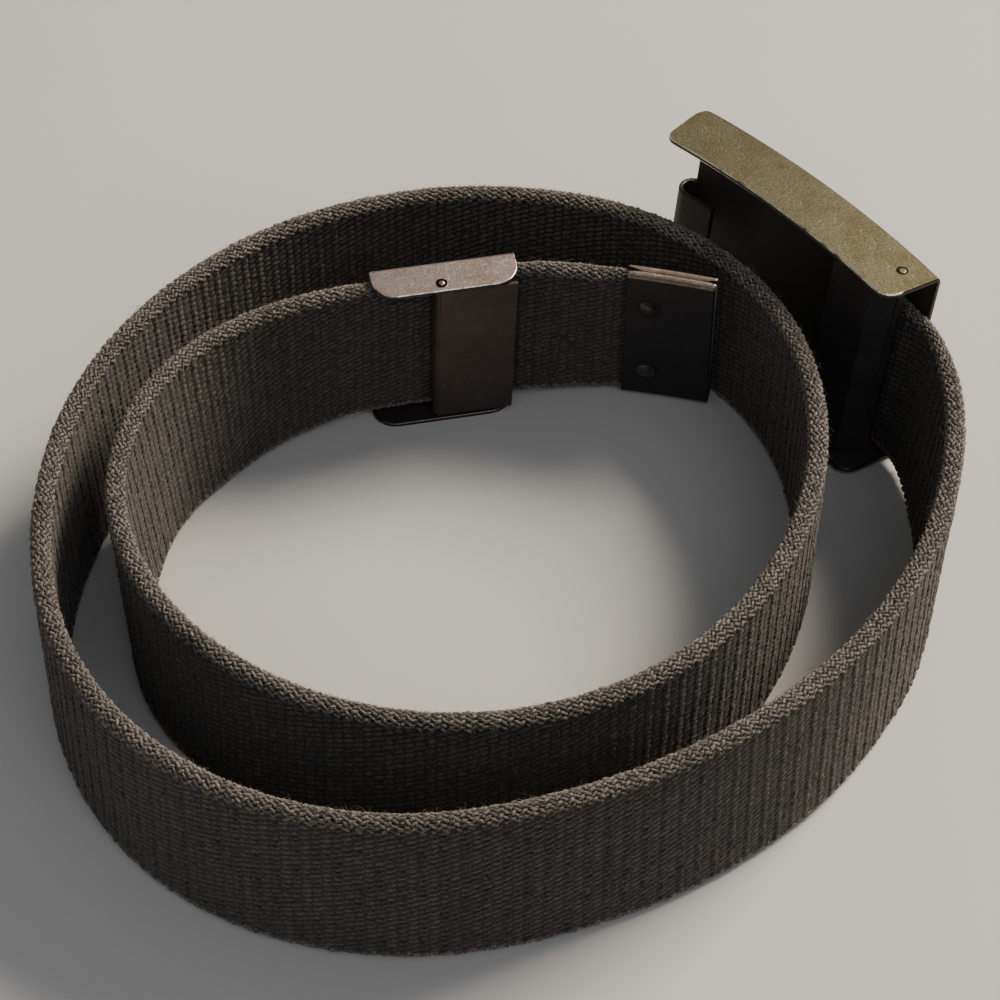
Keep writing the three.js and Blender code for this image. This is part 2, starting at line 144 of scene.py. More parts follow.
# Worn metal edges: which edges are rounded, by their angle and by the least width of the faces beside
# them, and how wide the rounding is on each kind of piece
SHARP_ANGLE = math.radians(35)
FLAT_ANGLE = math.radians(0.6)
WELD = 0.002
LEAST_STEP = 0.3
WEAR_STEPS = 2
BUCKLE_WEAR = 0.3
SLIDER_WEAR = 0.25
LEVER_WEAR = 0.25
PIN_WEAR = 0.2

# How deep, as a share of a sheet, a face still counts as the sheet's outer skin
SKIN_SHARE = 0.4

# How far up a way slanted to the near side the buckle's and the slider's edges start to carry a painted
# highlight, over what run that comes in, and the slider's way
BUCKLE_GLINT_FROM = 62
SLIDER_GLINT_FROM = 12
GLINT_FADE = 1
SLIDER_NEAR_AND_HIGH = (0.0, -0.5, 1.0)

# The strap's body under its yarns, and how round its edges are
SHOULDER = 2.1
CORE_INSET = 0.3
CORE_STEP = 2.0
CORE_EDGE_STEPS = 8
CORE_FACE_STEPS = 3

# Weave of the faces: rows of short yarn floats along the strap, one float every second column. Every
# second row is low and one column late, so that high and low floats change places from column to
# column. Slants are in degrees.
COLUMN_PITCH = 2.08
ROW_PITCH = 0.8
FIRST_COLUMN = 1
FIRST_ROW = 0.3
HIGH_HALF_LENGTH = 1.2
LOW_HALF_LENGTH = 1.3
FLOAT_HALF_WIDTH = 0.78
HIGH_FLOAT = 0.55
LOW_FLOAT = 0.3
FLOAT_SLANT = 20
FLOAT_FOOT = 0.08

# Plait of the rounded edges: finer floats, slanted by turns. The first and the last row lie a share of
# the way round, in from the shoulders.
EDGE_ROWS = 11
EDGE_SLANT = 33
EDGE_PITCH = 1.2
EDGE_FLOAT = 0.52
EDGE_HALF_LENGTH = 1.1
EDGE_HALF_WIDTH = 0.5
EDGE_END = 0.02

# A float's shape: where its crown ends, along it and up, as shares
CROWN_REACH = 0.56
CROWN_END = 0.88

# How much floats differ by chance: their places along and across, their slant in degrees, and, as
# shares, their sizes, their heights and each of their corners
ALONG_SPREAD = 0.07
ROW_SPREAD = 0.05
SLANT_SPREAD = 5.0
SIZE_SPREAD = 0.08
HEIGHT_SPREAD = 0.14
CORNER_SPREAD = 0.07

# Loose fibres on the upper edge: a gamma spread of lengths within limits, the spread of their lean and
# curl, how far past the shoulders they grow, how deep they are rooted, how they taper, and how far they
# keep from each metal piece. Those that fall on the slider are moved back by some of its lengths.
FUZZ_COUNT = 5200
FUZZ_RADIUS = 0.035
FUZZ_SIDES = 3
FUZZ_TAPER = (1, 0.9, 0.7, 0.3)
FUZZ_SHAPE = 2.0
FUZZ_LENGTH = 0.35
FUZZ_SHORTEST = 0.3
FUZZ_LONGEST = 1.8
FUZZ_LEAN = 1.0
FUZZ_CURL = 0.8
FUZZ_PAST_SHOULDER = 0.5
FUZZ_ROOT = 0.1
FUZZ_FROM_BUCKLE = 4
FUZZ_FROM_TIP = 2
FUZZ_FROM_SLIDER = 1
FUZZ_MOVED = 1.5

# Sizes of the materials' patterns. The fibres' clumps, the metals' pits and their scratches are drawn
# coarser than real ones, so that they show.
FIBRE_CLUMP = 0.8
CLOTH_CLOUD = 18
METAL_CLOUD = 9
METAL_PIT = 0.6
METAL_SCRATCH = 0.8
# The patches of the painted highlight on the near edges
GLINT_PATCH = 3
METAL_RELIEF = 0.2

# Camera, at the photograph's viewing angle: place in millimetres, tilt down and roll in degrees
CAMERA_PLACE = (-1.46, -397.01, 475.0)
CAMERA_TILT = 48.33
CAMERA_ROLL = 1.38
CAMERA_LENS = 95.76
CAMERA_SENSOR = 36
CAMERA_NEAR = 10

# Lights and floor, in metres and watts: each light's place, side, power and tint; the sky's tint and
# strength; half the floor's side, and how many of its clouds there are to a metre
KEY_LIGHT = ((1.1, 0.85, 1.25), 0.75, 58, "#fff4e6")
FRONT_FILL = ((0.5, -1.2, 1.5), 1.4, 7, "#eef3ff")
SKY_TINT = "#e8ebf0"
SKY_STRENGTH = 0.26
FLOOR_HALF = 3.0
FLOOR_CLOUDS = 6.0

random = np.random.default_rng(SEED)


def ease(share):
    """Zero before 0, one after 1, and 3 t^2 - 2 t^3 between."""
    held = np.clip(share, 0, 1)
    return held * held * (3 - 2 * held)


def on_route(along):
    """Place and heading on the route of the upper edge. Each row is an arc: the heading falls in
    proportion to the run, and the place moves by the change of its sine and cosine over the bend."""
    lengths = STRAP_LENGTH * ROUTE_PARTS / ROUTE_PARTS.sum()
    turns = np.radians(ROUTE_TURNS)
    bends = turns / lengths
    starts = np.concatenate([[0], np.cumsum(lengths)])[:-1]
    headings = math.radians(START_HEADING) - np.concatenate([[0], np.cumsum(turns)])
    step_x = (np.sin(headings[:-1]) - np.sin(headings[1:])) / bends
    step_y = (np.cos(headings[:-1]) - np.cos(headings[1:])) / bends
    from_x = START_X + np.concatenate([[0], np.cumsum(step_x)])[:-1]
    from_y = START_Y - np.concatenate([[0], np.cumsum(step_y)])[:-1]
    row = np.clip(np.searchsorted(starts, along, side="right") - 1, 0, len(starts) - 1)
    heading = headings[row] - bends[row] * (along - starts[row])
    x = from_x[row] + (np.sin(headings[row]) - np.sin(heading)) / bends[row]
    y = from_y[row] - (np.cos(headings[row]) - np.cos(heading)) / bends[row]
    return x, y, heading


def lean_at(along):
    """The lean in radians, eased from each row to the next."""
    share = np.clip(along / STRAP_LENGTH, 0, 1)
    after = np.clip(np.searchsorted(LEAN_SHARES, share), 1, len(LEAN_SHARES) - 1)
    run = (share - LEAN_SHARES[after - 1]) / (LEAN_SHARES[after] - LEAN_SHARES[after - 1])
    before = LEAN_DEGREES[after - 1]
    return np.radians(before + (LEAN_DEGREES[after] - before) * ease(run))


SLIDER_AT = STRAP_LENGTH * SLIDER_ALONG
BUCKLE_OUTSIDE = PRESSED_BY_BUCKLE / 2 + SHEET_GAP + BUCKLE_SHEET
SLIDER_OUTSIDE = PRESSED_BY_SLIDER / 2 + SHEET_GAP + SLIDER_SHEET
TIP_OUTSIDE = PRESSED_BY_TIP / 2 + SHEET_GAP + TIP_SHEET
BUCKLE_FLOOR = -(EDGE_GAP + BUCKLE_SHEET)
SLIDER_FLOOR = -(EDGE_GAP + SLIDER_SHEET)
TIP_FLOOR = -(SHEET_GAP + TIP_SHEET)


def stand(along, near, far, floor):
    """How high the lower edge stands for a piece round the strap to rest on the surface."""
    lean = lean_at(np.array(float(along)))
    return -(min(near * math.sin(lean), far * math.sin(lean)) + floor * math.cos(lean))


# From, to, run on each side, and rise
HOLDERS = (
    (0, CLAMP_LENGTH, BUCKLE_RISE_RUN,
     stand(0, BUCKLE_OUTSIDE - BUCKLE_DEPTH, BUCKLE_OUTSIDE, BUCKLE_FLOOR)),
    (SLIDER_AT - SLIDER_LENGTH / 2, SLIDER_AT + SLIDER_LENGTH / 2, SLIDER_RISE_RUN,
     stand(SLIDER_AT, SLIDER_OUTSIDE - SLIDER_DEPTH, SLIDER_OUTSIDE, SLIDER_FLOOR)),
    (STRAP_LENGTH - TIP_LENGTH, STRAP_LENGTH, TIP_RISE_RUN,
     stand(STRAP_LENGTH, -TIP_OUTSIDE, TIP_OUTSIDE, TIP_FLOOR)),
)


def rise_at(along):
    """The height of the strap's lower edge: eased up to each metal piece that carries it."""
    rise = WEB_THICKNESS / 2 * np.abs(np.sin(lean_at(along)))
    for start, end, run, height in HOLDERS:
        away = np.maximum(np.maximum(start - along, along - end), 0)
        rise = np.maximum(rise, height * ease(1 - away / run))
    return rise


def thickness_at(along):
    """The strap's thickness, pressed thinner where a clamp holds it."""
    at_buckle = ease(1 - np.maximum(0, along - CLAMP_LENGTH) / PRESS_RUN)
    from_slider = np.maximum(0, np.abs(along - SLIDER_AT) - SLIDER_LENGTH / 2)
    at_slider = ease(1 - from_slider / (PRESS_RUN / 2))
    at_tip = ease(1 - np.maximum(0, STRAP_LENGTH - TIP_LENGTH - along) / TIP_PRESS_RUN)
    return (WEB_THICKNESS
            - (WEB_THICKNESS - PRESSED_BY_BUCKLE) * at_buckle
            - (WEB_THICKNESS - PRESSED_BY_SLIDER) * at_slider
            - (WEB_THICKNESS - PRESSED_BY_TIP) * at_tip)


def strap_axes(along):
    """The strap's frame at each length: where its lower edge is, and its ways across and up."""
    x, y, heading = on_route(along)
    lean = lean_at(along)
    zero = np.zeros_like(x)
    outward = np.stack([-np.sin(heading), np.cos(heading), zero], -1)
    upward = np.array([0.0, 0.0, 1.0])
    sine, cosine = np.sin(lean)[..., None], np.cos(lean)[..., None]
    across = outward * cosine + upward * sine
    width = upward * cosine - outward * sine
    origin = np.stack([x, y, rise_at(along)], -1) + outward * WEB_WIDTH * sine
    return origin, across, width


def on_strap(along, out, up, shift=(0, 0, 0)):
    """A place given along the strap, out from its middle and up its width, in metres."""
    origin, across, width = strap_axes(along)
    return (origin + across * out[..., None] + width * up[..., None]) * MM + shift


def plain_shift():
    """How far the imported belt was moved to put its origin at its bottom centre."""
    along = np.linspace(0, STRAP_LENGTH, SHIFT_STATIONS)[:, None]
    half = thickness_at(along) / 2
    ends = np.array([-1.0, 1.0, -1.0, 1.0]) * half
    heights = np.array([0.0, 0.0, WEB_WIDTH, WEB_WIDTH]) + 0 * along
    places = on_strap(along + 0 * ends, ends, heights).reshape(-1, 3)
    low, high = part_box("webbing")
    middle = (places.min(0) + places.max(0)) / 2
    return np.array([(low.x + high.x) / 2 - middle[0], (low.y + high.y) / 2 - middle[1], 0])


SHIFT = plain_shift()


# Meshes

NO_QUADS = np.zeros((0, 4), int)
NO_TRIANGLES = np.zeros((0, 3), int)


def ring_faces(rings, count):
    """Quads between neighbouring rings of equal count."""
    ring = np.arange(rings - 1)[:, None] * count
    step = np.arange(count)[None, :]
    after = (step + 1) % count
    faces = np.stack([ring + step, ring + after, ring + count + after, ring + count + step], -1)
    return faces.reshape(-1, 4)


def end_fans(count, foot, crown):
    """Two fans of triangles over the first and the last ring. foot holds the first ring's first place
    and the foot's middle, and crown the last ring's first place and the crown's middle."""
    step = np.arange(count)
    after = (step + 1) % count
    return [np.stack([foot[0] + after, foot[0] + step, np.full(count, foot[1])], -1),
            np.stack([crown[0] + step, crown[0] + after, np.full(count, crown[1])], -1)]


def new_piece(name, places, quads, fans, materials):
    """A smooth piece of quads and triangles, at the origin."""
    mesh = bpy.data.meshes.new(name)
    triangles = np.concatenate(fans)
    loops = np.concatenate([quads.ravel(), triangles.ravel()]).astype(np.int32)
    starts = np.concatenate([np.arange(len(quads)) * 4, quads.size + np.arange(len(triangles)) * 3])
    mesh.vertices.add(len(places))
    mesh.vertices.foreach_set("co", np.ascontiguousarray(places, np.float32).ravel())
    mesh.loops.add(len(loops))
    mesh.loops.foreach_set("vertex_index", loops)
    mesh.polygons.add(len(starts))
    mesh.polygons.foreach_set("loop_start", starts.astype(np.int32))
    mesh.polygons.foreach_set("use_smooth", np.ones(len(starts), bool))
    for material in materials:
        mesh.materials.append(material)
    mesh.update(calc_edges=True)
    piece = bpy.data.objects.new(name, mesh)
    bpy.context.scene.collection.objects.link(piece)
    return piece


def edge_place(turn, half, lift, top):
    """Place and height on a rounded edge: half an oval, turned from the outer shoulder at 0 over the
    edge to the inner shoulder at pi, as (out, up)."""
    out = (half + lift) * np.cos(turn)
    rise = (SHOULDER + lift) * np.sin(turn) - SHOULDER
    return out, WEB_WIDTH + rise if top else -rise


def make_core(material):
    """The strap's body under its yarns: an oblong with oval edges, carried along the route."""
    turn = np.linspace(0, math.pi, CORE_EDGE_STEPS + 1)
    along = np.linspace(0, STRAP_LENGTH, int(STRAP_LENGTH / CORE_STEP) + 1)[:, None]
    half = thickness_at(along) / 2
    top_out, top_up = edge_place(turn[None], half, -CORE_INSET, True)
    low_out, low_up = edge_place(turn[None, ::-1], half, -CORE_INSET, False)
    heights = np.linspace(SHOULDER, WEB_WIDTH - SHOULDER, CORE_FACE_STEPS + 2)[None, 1:-1]
    side = half - CORE_INSET + 0 * heights
    face_up = heights + 0 * half
    out = np.concatenate([low_out, side, top_out, -side], 1)
    up = np.concatenate([low_up + 0 * half, face_up, top_up + 0 * half, face_up[:, ::-1]], 1)
    places = on_strap(along + 0 * out, out, up, SHIFT)
    rings, count = out.shape
    total, base = rings * count, (rings - 1) * count
    fans = end_fans(count, (0, total), (base, total + 1))
    middles = [places[0].mean(0), places[-1].mean(0)]
    return new_piece("strap_core", np.concatenate([places.reshape(-1, 3), middles]),
                     ring_faces(rings, count), fans, [material])


# A yarn float, along and across from -1 to 1 and lifted from 0 to 1: eight places round its foot, sunk
# in the core, and three along its crown. Its triangles join the foot's ring to the crown, and then
# close the foot.
FLOAT_TURNS = np.arange(8) * math.pi / 4
FLOAT_PLACES = np.concatenate([
    np.stack([np.cos(FLOAT_TURNS), np.sin(FLOAT_TURNS), 0 * FLOAT_TURNS], -1),
    [(-CROWN_REACH, 0, CROWN_END), (0, 0, 1), (CROWN_REACH, 0, CROWN_END)],
])
FLOAT_FACES = np.array([
    (0, 1, 10), (1, 2, 10), (2, 9, 10), (2, 8, 9), (2, 3, 8), (3, 4, 8),
    (4, 5, 8), (5, 6, 8), (6, 9, 8), (6, 10, 9), (6, 7, 10), (7, 0, 10),
    *((0, place + 1, place) for place in range(1, 7)),
])


def make_floats(name, rows, late, place_on, row_scale, height, slant, half_length, half_width, pitch,
                material):
    """Yarn floats in rows along the strap, one every second column of this pitch. late shifts each
    row's floats in columns, and place_on turns (along, row place, lift) into the world. A float is an
    oval turned by its slant. Its places, sizes and tone vary a little by chance, and so does each of
    its corners, because spun yarn isn't smooth."""
    per_row = int((STRAP_LENGTH - 2 * pitch) / (2 * pitch))
    shape = (len(rows), per_row, 1)
    start = (0.5 + np.arange(per_row)[None, :, None] * 2 + late[:, None, None]) * pitch + FIRST_COLUMN
    along = start + random.normal(0, ALONG_SPREAD, shape)
    level = rows[:, None, None] + row_scale * random.normal(0, ROW_SPREAD, shape)
    angle = np.radians(slant[:, None, None] + random.normal(0, SLANT_SPREAD, shape))
    uneven = random.normal(0, CORNER_SPREAD, (3, len(rows), per_row, len(FLOAT_PLACES)))
    long = half_length * random.normal(1, SIZE_SPREAD, shape) * FLOAT_PLACES[:, 0] + uneven[0]
    wide = half_width * random.normal(1, SIZE_SPREAD, shape) * FLOAT_PLACES[:, 1] + uneven[1]
    lift = height * random.normal(1, HEIGHT_SPREAD, shape) * FLOAT_PLACES[:, 2] * (1 + uneven[2])
    lift = lift - CORE_INSET - FLOAT_FOOT
    run = along + long * np.cos(angle) - wide * np.sin(angle)
    across = level + row_scale * (long * np.sin(angle) + wide * np.cos(angle))
    places = place_on(run, across, lift)
    count = len(rows) * per_row
    each = len(FLOAT_PLACES)
    corners = places.reshape(count, each, 3)
    faces = FLOAT_FACES
    sides = [corners[:1, faces[:, i]] - corners[:1, :1] for i in range(3)]
    if np.einsum("ijk,ijk->", sides[0], np.cross(sides[1], sides[2])) < 0:
        faces = faces[:, ::-1]
    faces = (faces[None] + (np.arange(count) * each)[:, None, None]).reshape(-1, 3)
    piece = new_piece(name, corners.reshape(-1, 3), NO_QUADS, [faces], [material])
    tone = piece.data.attributes.new("tone", "FLOAT", "POINT")
    tone.data.foreach_set("value", np.repeat(random.random(count), each).astype(np.float32))
    return piece


def make_face_floats(name, side, parity, height, material):
    """The floats of every second row of one face."""
    rows = np.arange(SHOULDER + FIRST_ROW, WEB_WIDTH - SHOULDER, ROW_PITCH)[parity::2]

    def place_on(run, across, lift):
        return on_strap(run, side * (thickness_at(run) / 2 + lift), across, SHIFT)

    late = np.full(len(rows), float(parity))
    slant = np.full(len(rows), -FLOAT_SLANT * float(side))
    half_length = LOW_HALF_LENGTH if parity else HIGH_HALF_LENGTH
    return make_floats(name, rows, late, place_on, 1.0, height, slant, half_length, FLOAT_HALF_WIDTH,
                       COLUMN_PITCH, material)


def make_edge_floats(name, top, material):
    """The floats over a rounded edge, finer than the faces' and slanted by turns, like a plait."""
    rows = np.linspace(EDGE_END, 1 - EDGE_END, EDGE_ROWS) * math.pi

    def place_on(run, across, lift):
        out, up = edge_place(across, thickness_at(run) / 2, lift, top)
        return on_strap(run, out, up, SHIFT)

    order = np.arange(EDGE_ROWS)
    return make_floats(name, rows, (order % 2).astype(float), place_on, 1 / SHOULDER, EDGE_FLOAT,
                       EDGE_SLANT * (1.0 - 2 * (order % 2)), EDGE_HALF_LENGTH, EDGE_HALF_WIDTH,
                       EDGE_PITCH, material)


def tubes(name, centres, radii, sides, material):
    """Many closed tubes in one mesh. centres is (tubes, rings, 3), radii (tubes, rings). Each ring
    lies square to its tube's direction, and each end is closed by a fan to its middle."""
    count, rings, _ = centres.shape
    direction = np.gradient(centres, axis=1)
    direction /= np.linalg.norm(direction, axis=2, keepdims=True)
    helper = np.where(np.abs(direction[..., 2:]) > 0.9, [[[1.0, 0, 0]]], [[[0, 0, 1.0]]])
    side = np.cross(direction, helper)
    side /= np.linalg.norm(side, axis=2, keepdims=True)
    rise = np.cross(direction, side)
    angle = 2 * math.pi * np.arange(sides) / sides
    ring = (side[:, :, None] * np.cos(angle)[None, None, :, None]
            + rise[:, :, None] * np.sin(angle)[None, None, :, None])
    skin = centres[:, :, None] + ring * radii[:, :, None, None]
    each = rings * sides + 2
    places = np.concatenate([skin.reshape(count, -1, 3), centres[:, :1], centres[:, -1:]], 1)
    offset = (np.arange(count) * each)[:, None, None]
    quads = (ring_faces(rings, sides)[None] + offset).reshape(-1, 4)
    ends = end_fans(sides, (0, each - 2), ((rings - 1) * sides, each - 1))
    fans = [(fan[None] + offset).reshape(-1, 3) for fan in ends]
    return new_piece(name, places.reshape(-1, 3), quads, fans, [material])


def make_fuzz(material):
    """Loose fibres on the upper edge, a little thicker than real ones so that they show. Each is a
    short hair that starts on the rounded edge and leans along the strap, and its angle to the edge
    grows in proportion to its run, which curls it."""
    along = random.uniform(CLAMP_LENGTH + FUZZ_FROM_BUCKLE, STRAP_LENGTH - TIP_LENGTH - FUZZ_FROM_TIP,
                           FUZZ_COUNT)
    near_slider = np.abs(along - SLIDER_AT) < SLIDER_LENGTH / 2 + FUZZ_FROM_SLIDER
    along = np.where(near_slider, along - SLIDER_LENGTH * FUZZ_MOVED, along)
    turn = random.uniform(-FUZZ_PAST_SHOULDER, math.pi + FUZZ_PAST_SHOULDER, FUZZ_COUNT)
    length = random.gamma(FUZZ_SHAPE, FUZZ_LENGTH, FUZZ_COUNT).clip(FUZZ_SHORTEST, FUZZ_LONGEST)
    lean = random.normal(0, FUZZ_LEAN, FUZZ_COUNT)
    curl = random.normal(0, FUZZ_CURL, FUZZ_COUNT)
    share = np.linspace(0, 1, len(FUZZ_TAPER))[None]
    half = thickness_at(along)[:, None] / 2
    reach = length[:, None] * share
    bend = turn[:, None] + curl[:, None] * share
    out = (half - FUZZ_ROOT) * np.cos(turn)[:, None] + reach * np.cos(bend)
    up = WEB_WIDTH - SHOULDER + SHOULDER * np.sin(turn)[:, None] + reach * np.sin(bend)
    places = on_strap(along[:, None] + lean[:, None] * reach, out, up, SHIFT)
    radii = FUZZ_RADIUS * MM * np.array(FUZZ_TAPER)[None] * np.ones((FUZZ_COUNT, 1))
    return tubes("edge_fuzz", places, radii, FUZZ_SIDES, material)


# Colours and nodes

def colour(code):
    """A linear colour from an sRGB hex code."""
    parts = [int(code[i:i + 2], 16) / 255 for i in (1, 3, 5)]
    return tuple(p / 12.92 if p <= 0.04045 else ((p + 0.055) / 1.055) ** 2.4 for p in parts) + (1.0,)


# The colour sockets of a Mix node
FACTOR, FIRST, SECOND, MIXED = 0, 6, 7, 2


def add(tree, kind, inputs=(), **settings):
    """Adds a node with its settings. Each input is a value, or another node's socket to link."""
    made = tree.nodes.new("ShaderNode" + kind)
    for name, value in settings.items():
        setattr(made, name, value)
    for key, value in dict(inputs).items():
        if isinstance(value, bpy.types.NodeSocket):
            tree.links.new(value, made.inputs[key])
        else:
            made.inputs[key].default_value = value
    return made


def new_material(name, **sockets):
    """A material with a Principled shader, its even values set on the shader's own sockets."""
    material = bpy.data.materials.new(name)
    material.use_nodes = True
    tree = material.node_tree
    tree.nodes.clear()
    shader = add(tree, "BsdfPrincipled", {key.replace("_", " "): value for key, value in sockets.items()})
    add(tree, "OutputMaterial", {"Surface": shader.outputs["BSDF"]})
    return material, tree, shader


def cotton(name, dark, pale, relief):
    """Spun cotton: matt, with a dusty sheen from its loose fibres, and speckled where fibres catch the
    light, in clumps drawn coarser than single fibres so that they show. Each float has its own tone,
    and the cloth is worn paler in clouds. relief is the clumps' height in millimetres."""
    material, tree, shader = new_material(
        name, Roughness=0.95, Specular_IOR_Level=0.15, Sheen_Weight=0.2, Sheen_Roughness=0.6,
    )
    place = add(tree, "TexCoord").outputs["Object"]
    fibre = add(tree, "TexNoise", {"Vector": place, "Scale": 1 / (FIBRE_CLUMP * MM),
                                   "Detail": 4.0, "Roughness": 0.75})
    cloud = add(tree, "TexNoise", {"Vector": place, "Scale": 1 / (CLOTH_CLOUD * MM), "Detail": 3.0})
    tone = add(tree, "Attribute", attribute_name="tone").outputs["Fac"]
    # Painted highlight: pale specks where fibres catch the light
    speck = add(tree, "MapRange", {"Value": fibre.outputs[0], "From Min": 0.42, "From Max": 0.58,
                                   "To Max": 0.7}).outputs[0]
    worn = add(tree, "MapRange", {"Value": cloud.outputs[0], "From Min": 0.35, "From Max": 0.65,
                                  "To Max": 0.15}).outputs[0]
    own = add(tree, "Math", {0: tone, 1: 0.2, 2: worn}, operation="MULTIPLY_ADD").outputs[0]
    factor = add(tree, "Math", {0: own, 1: speck}, operation="ADD", use_clamp=True).outputs[0]
    base = add(tree, "Mix", {FACTOR: factor, FIRST: colour(dark), SECOND: colour(pale)},
               data_type="RGBA").outputs[MIXED]
    tree.links.new(base, shader.inputs["Base Color"])
    bump = add(tree, "Bump", {"Height": fibre.outputs[0], "Strength": 1.0, "Distance": relief * MM})
    tree.links.new(bump.outputs[0], shader.inputs["Normal"])
    return material


def aged_metal(name, base, mottled, worn, roughness, grain=(1, 1, 1), turn=0, scratches=0.35,
               metallic=1.0, speckle=0.22, painted_glint_in=()):
    """Old sheet metal: a cloudy patina over the metal, a fine dark and pale grain, and thin scratches
    where the patina is rubbed through. The grain and the scratches are drawn coarser than real ones, so
    that they show. grain and turn stretch the scratches along one way. The last argument holds ways,
    and how far along each a painted highlight starts on the edges, in broken patches of the worn colour."""
    material, tree, shader = new_material(name, Metallic=metallic)
    place = add(tree, "TexCoord").outputs["Object"]
    cloud = add(tree, "TexNoise", {"Vector": place, "Scale": 1 / (METAL_CLOUD * MM),
                                   "Detail": 5.0, "Roughness": 0.65})
    pits = add(tree, "TexNoise", {"Vector": place, "Scale": 1 / (METAL_PIT * MM),
                                  "Detail": 3.0, "Roughness": 0.8})
    lines = add(tree, "Mapping", {"Vector": place, "Rotation": (0, 0, math.radians(turn)), "Scale": grain})
    scratch = add(tree, "TexNoise", {"Vector": lines.outputs[0], "Scale": 1 / (METAL_SCRATCH * MM),
                                     "Detail": 2.0})
    patina = add(tree, "MapRange", {"Value": cloud.outputs[0], "From Min": 0.35,
                                    "From Max": 0.65}).outputs[0]
    tint = add(tree, "Mix", {FACTOR: patina, FIRST: colour(base), SECOND: colour(mottled)},
               data_type="RGBA").outputs[MIXED]
    worn_and_lit = add(tree, "MapRange", {"Value": scratch.outputs[0], "From Min": 0.6, "From Max": 0.78,
                                    "To Max": scratches}).outputs[0]
    # Painted highlight: broken bright patches beyond a plane toward the near side, where the edges catch
    # the light
    for way, start in painted_glint_in:
        far = add(tree, "VectorMath", {0: place, 1: way}, operation="DOT_PRODUCT").outputs["Value"]
        inside = add(tree, "MapRange", {"Value": far, "From Min": start,
                                        "From Max": start + GLINT_FADE * MM}).outputs[0]
        broken = add(tree, "TexNoise", {"Vector": place, "Scale": 1 / (GLINT_PATCH * MM),
                                        "Detail": 4.0}).outputs[0]
        broken = add(tree, "MapRange", {"Value": broken, "From Min": 0.3, "From Max": 0.52}).outputs[0]
        patch = add(tree, "Math", {0: inside, 1: broken}, operation="MULTIPLY").outputs[0]
        worn_and_lit = add(tree, "Math", {0: worn_and_lit, 1: patch}, operation="MAXIMUM").outputs[0]
    tint = add(tree, "Mix", {FACTOR: worn_and_lit, FIRST: tint, SECOND: colour(worn)},
               data_type="RGBA").outputs[MIXED]
    grained = add(tree, "MapRange", {"Value": pits.outputs[0], "From Min": 0.32, "From Max": 0.68,
                                     "To Min": 1 - speckle, "To Max": 1 + speckle}).outputs[0]
    tint = add(tree, "VectorMath", {0: tint, 3: grained}, operation="SCALE").outputs[0]
    tree.links.new(tint, shader.inputs["Base Color"])
    dull = add(tree, "MapRange", {"Value": cloud.outputs[0], "From Min": 0.3, "From Max": 0.7,
                                  "To Min": roughness - 0.06, "To Max": roughness + 0.08}).outputs[0]
    tree.links.new(dull, shader.inputs["Roughness"])
    rough = add(tree, "Math", {0: pits.outputs[0], 1: worn_and_lit}, operation="SUBTRACT").outputs[0]
    bump = add(tree, "Bump", {"Height": rough, "Strength": 0.3, "Distance": METAL_RELIEF * MM})
    tree.links.new(bump.outputs[0], shader.inputs["Normal"])
    return material


def metal_copy(node, name, body, materials, width, pick=None, bores=None):
    """A merged copy of a CAD node with rounded edges, which replaces it. pick gives each face's
    material from the faces' middles, or all take the first; the rounded edges take the last. Edges for
    which bores says so, round the holes, stay sharp, and so do the edges of steps too narrow to see."""
    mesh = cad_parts[node].data.copy()
    mesh.name = name
    shell = bmesh.new()
    shell.from_mesh(mesh)
    bmesh.ops.remove_doubles(shell, verts=shell.verts, dist=WELD * MM)
    bmesh.ops.dissolve_limit(shell, angle_limit=FLAT_ANGLE, verts=shell.verts, edges=shell.edges)
    weight = shell.edges.layers.float.new("bevel_weight_edge")
    middles = np.array([(edge.verts[0].co + edge.verts[1].co) / 2 for edge in shell.edges])
    held = bores(middles) if bores else np.zeros(len(middles), bool)
    narrow = {face: 2 * face.calc_area() < LEAST_STEP * MM * sum(edge.calc_length() for edge in face.edges)
              for face in shell.faces}
    for edge, keep_sharp in zip(shell.edges, held):
        bent = edge.is_manifold and edge.calc_face_angle() > SHARP_ANGLE
        bent = bent and not any(narrow[face] for face in edge.link_faces)
        edge[weight] = 1.0 if bent and not keep_sharp else 0.0
        edge.smooth = not bent
    shell.to_mesh(mesh)
    shell.free()
    mesh.materials.clear()
    for material in materials:
        mesh.materials.append(material)
    count = len(mesh.polygons)
    middles = np.zeros(count * 3)
    mesh.polygons.foreach_get("center", middles)
    chosen = pick(middles.reshape(-1, 3)) if pick else np.zeros(count)
    mesh.polygons.foreach_set("material_index", chosen.astype(np.int32))
    mesh.polygons.foreach_set("use_smooth", np.ones(count, bool))
    piece = bpy.data.objects.new(name, mesh)
    bpy.context.scene.collection.objects.link(piece)
    bevel = piece.modifiers.new("worn_edges", "BEVEL")
    bevel.width = width * MM
    bevel.segments = WEAR_STEPS
    bevel.limit_method = "WEIGHT"
    bevel.material = len(materials) - 1
    bevel.use_clamp_overlap = False
    even = piece.modifiers.new("even_shading", "WEIGHTED_NORMAL")
    even.keep_sharp = True
    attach(piece, body)
    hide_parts(node)


def holder_frame(along):
    """The frame of a metal piece held at a length of the strap: its origin, and its ways forward,
    across and up."""
    _, _, heading = on_route(np.array(float(along)))
    origin, across, width = strap_axes(np.array(float(along)))
    return origin, np.array([math.cos(heading), math.sin(heading), 0]), across, width


def holder_local(along, places):
    """Places in the frame of a metal piece: run, out and up, in mm."""
    origin, forward, across, width = holder_frame(along)
    away = (places - SHIFT) / MM - origin
    return away @ forward, away @ across, away @ width


